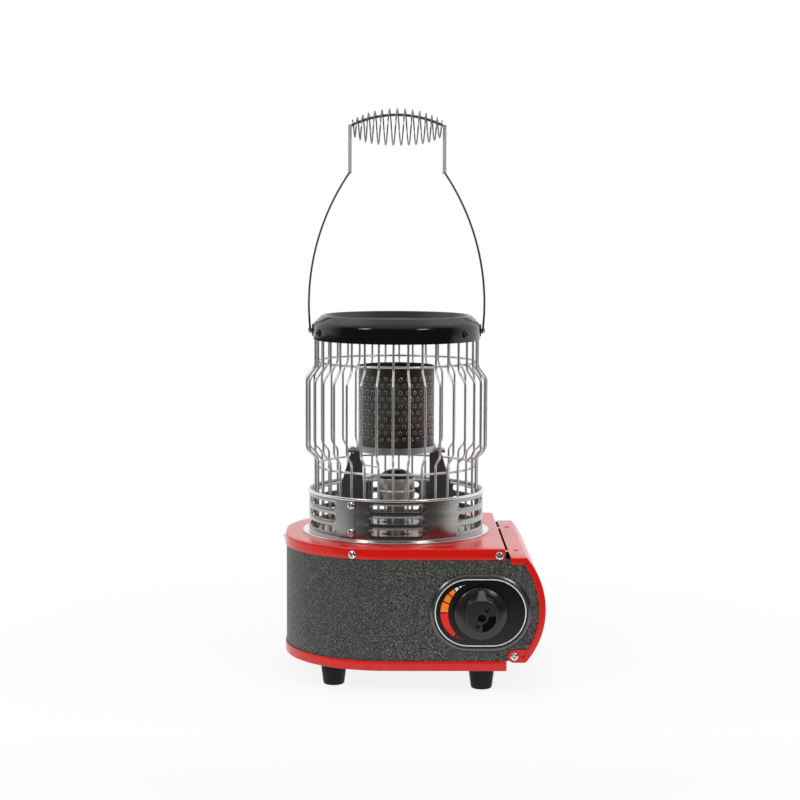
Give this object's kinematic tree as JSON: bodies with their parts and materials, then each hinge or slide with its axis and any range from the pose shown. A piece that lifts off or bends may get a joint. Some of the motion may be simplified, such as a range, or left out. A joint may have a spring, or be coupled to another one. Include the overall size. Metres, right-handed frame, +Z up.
{
  "type": "portable propane heater",
  "caption": "Tabletop gas heater: round-ended sheet metal base with a hinged cartridge cover, control knob, caged perforated emitter, open enamelled cap and a folding bail handle.",
  "frame": {"origin": "on the table under the middle of the heater's bounding box", "axes": "+Z up along the burner's axis, +X towards the cartridge cover, -Y towards the control knob"},
  "size_m": [0.2496, 0.2466, 0.5498],
  "materials": {
    "red_enamel": "gloss",
    "hammered_grey": "hammered satin",
    "black_rubber": "matt",
    "screw_steel": "bright",
    "black_screw": "satin",
    "galvanised": "satin",
    "black_plastic": "gloss",
    "knob_plastic": "gloss",
    "brass": "satin",
    "die_cast": "cast",
    "magnet": "matt",
    "pipe_metal": "satin",
    "mixer_steel": "satin",
    "bright_steel": "bright",
    "burner_steel": "satin",
    "dark_cap": "matt",
    "heat_steel": "heat tinted",
    "bracket_steel": "satin",
    "ceramic": "glazed ceramic",
    "lead_rubber": "satin silicone",
    "wire_chrome": "bright",
    "black_enamel": "gloss enamel",
    "bail_steel": "bright"
  },
  "bodies": {
    "root": {"rubber_feet": "black_rubber", "foot_screws": "screw_steel", "base_tray": "red_enamel", "side_band": "hammered_grey", "deck": "red_enamel", "deck_screws": "screw_steel", "bay_partition": "galvanised", "cartridge_cradle": "galvanised", "cover_pivot_screws": "screw_steel", "control_bezel": "black_plastic", "dial_plate": "black_plastic", "gas_regulator": "die_cast", "cartridge_seat": "magnet", "gas_pipe": "pipe_metal", "gas_jet": "brass", "jet_bracket": "galvanised", "mixing_tube": "mixer_steel", "burner_pan": "bright_steel", "burner_cup": "burner_steel", "burner_cap": "dark_cap", "emitter_cylinder": "heat_steel", "emitter_lid": "heat_steel", "emitter_base": "bracket_steel", "bracket_legs": "bracket_steel", "bracket_screws": "screw_steel", "piezo_igniter": "black_plastic", "electrode_bracket": "bracket_steel", "spark_electrode": "ceramic", "ignition_wire": "lead_rubber", "drip_ring": "bright_steel", "slotted_ring": "bright_steel", "seam_screws": "screw_steel", "cage_bars": "wire_chrome", "cage_rings": "wire_chrome", "top_cap": "black_enamel", "cap_screws": "black_screw", "bail_ears": "black_enamel"},
    "bail": {"bail_handle": "bail_steel", "grip_coil": "bail_steel"},
    "cover": {"cartridge_cover": "red_enamel", "cover_rivets": "red_enamel", "cover_catch": "brass"},
    "press_collar": {"thrust_collar": "brass"},
    "knob": {"knob": "knob_plastic", "knob_insert": "brass", "valve_spindle": "brass"}
  },
  "joints": [
    {"name": "bail_swing", "type": "hinge", "parent": "root", "child": "bail", "pos_m": [-0.01465, 0.0105, 0.335], "axis": [1, 0, 0], "range_deg": [-135, 135]},
    {"name": "cover_hinge", "type": "hinge", "parent": "root", "child": "cover", "pos_m": [0.09555, 0.0105, 0.0364], "axis": [0, 1, 0], "range_deg": [0, 90]},
    {"name": "knob_press", "type": "slide", "parent": "root", "child": "press_collar", "axis": [0, 1, 0], "range_m": [0, 0.0025], "stiffness_N_per_m": 600},
    {"name": "knob_turn", "type": "hinge", "parent": "press_collar", "child": "knob", "pos_m": [0.06375, -0.10325, 0.0777], "axis": [0, 1, 0], "range_deg": [-150, 0]}
  ]
}
